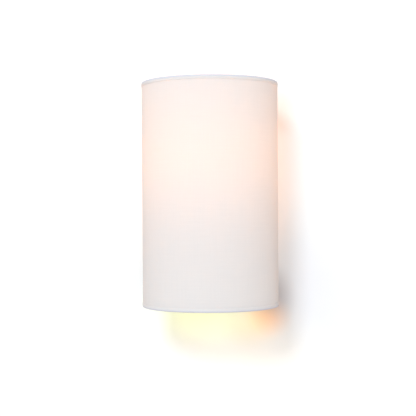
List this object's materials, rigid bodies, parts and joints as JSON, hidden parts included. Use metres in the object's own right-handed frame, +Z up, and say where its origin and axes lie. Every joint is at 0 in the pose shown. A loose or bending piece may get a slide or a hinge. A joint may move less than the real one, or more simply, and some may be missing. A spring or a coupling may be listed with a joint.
{
  "type": "fabric shade wall light",
  "caption": "Wall light: a plain white fabric drum on a wire carrier hides a round canopy, short arm, E27 holder and bulb.",
  "frame": {"origin": "centre of the wall bracket's back face, on the wall, level with the arm", "axes": "+Y into the wall, the light stands out towards -Y, +Z up along the shade's axis, +X to the right seen from the room"},
  "size_m": [0.1526, 0.1773, 0.25],
  "materials": {
    "zinc_steel": "zinc-plated, satin",
    "canopy_white": "white powder coat, satin",
    "nickel": "satin nickel plate",
    "brass": "plain, slightly dull",
    "block_plastic": "natural polyamide",
    "bush_plastic": "black nylon",
    "holder_plastic": "white moulded thermoplastic",
    "insert_plastic": "cream moulded insert",
    "lead_brown": "silicone insulation",
    "lead_blue": "silicone insulation",
    "lead_earth": "green insulation with a yellow stripe",
    "shade_cloth": "plain white polycotton weave",
    "shade_liner": "translucent white sheet",
    "edge_tape": "plain white binding",
    "shade_wire": "white powder-coated wire",
    "globe_glass": "satin frosted, lit from inside",
    "stem_glass": "clear",
    "filament": "yellow phosphor coating",
    "filament_wire": "bright wire",
    "cap_metal": "rolled, bright",
    "cap_insulator": "black vitreous",
    "solder": "dull solder"
  },
  "bodies": {
    "fitting": {"wall_bracket": "zinc_steel", "earth_screw": "brass", "earth_tag": "brass", "wall_canopy": "canopy_white", "canopy_screws": "zinc_steel", "terminal_block": "block_plastic", "terminal_barrels": "brass", "terminal_screws": "zinc_steel", "block_screw": "zinc_steel", "arm_tube": "nickel", "arm_collar": "nickel", "arm_washer": "zinc_steel", "arm_nut": "zinc_steel", "tube_bush": "bush_plastic", "arm_elbow": "nickel", "live_lead": "lead_brown", "neutral_lead": "lead_blue", "earth_lead": "lead_earth", "holder_nipple": "brass", "holder_lock_nut": "nickel", "holder_base": "holder_plastic", "holder_grub_screw": "zinc_steel", "holder_insert": "insert_plastic", "holder_shell": "brass", "centre_contact": "brass", "holder_terminals": "brass", "holder_terminal_screws": "zinc_steel", "holder_skirt": "holder_plastic", "shade_carrier": "shade_wire", "shade_top_ring": "shade_wire", "shade_liner": "shade_liner", "shade_fabric": "shade_cloth", "shade_seam": "shade_cloth", "top_edge_tape": "edge_tape", "bottom_edge_tape": "edge_tape", "arm_eyelet": "nickel", "eyelet_washer": "nickel"},
    "shade_ring": {"shade_ring": "holder_plastic"},
    "bulb_tip": {"bulb_tip": "solder"},
    "bulb": {"bulb_globe": "globe_glass", "bulb_cap": "cap_metal", "bulb_insulator": "cap_insulator", "bulb_stem": "stem_glass", "bulb_filaments": "filament", "filament_wires": "filament_wire"}
  },
  "joints": [
    {"name": "shade_ring_turn", "type": "hinge", "parent": "fitting", "child": "shade_ring", "pos_m": [0, -0.101, 0.0521], "axis": [0, 0, 1], "range_deg": [0, 1080]},
    {"name": "bulb_lift", "type": "slide", "parent": "fitting", "child": "bulb_tip", "axis": [0, 0, 1], "range_m": [0, 0.01271]},
    {"name": "bulb_turn", "type": "hinge", "parent": "bulb_tip", "child": "bulb", "pos_m": [0, -0.101, 0.0446], "axis": [0, 0, 1], "range_deg": [0, 1260]}
  ],
  "couplings": [
    {"joint": "bulb_lift", "follows": "bulb_turn", "m_per_rad": 0.00057757}
  ]
}
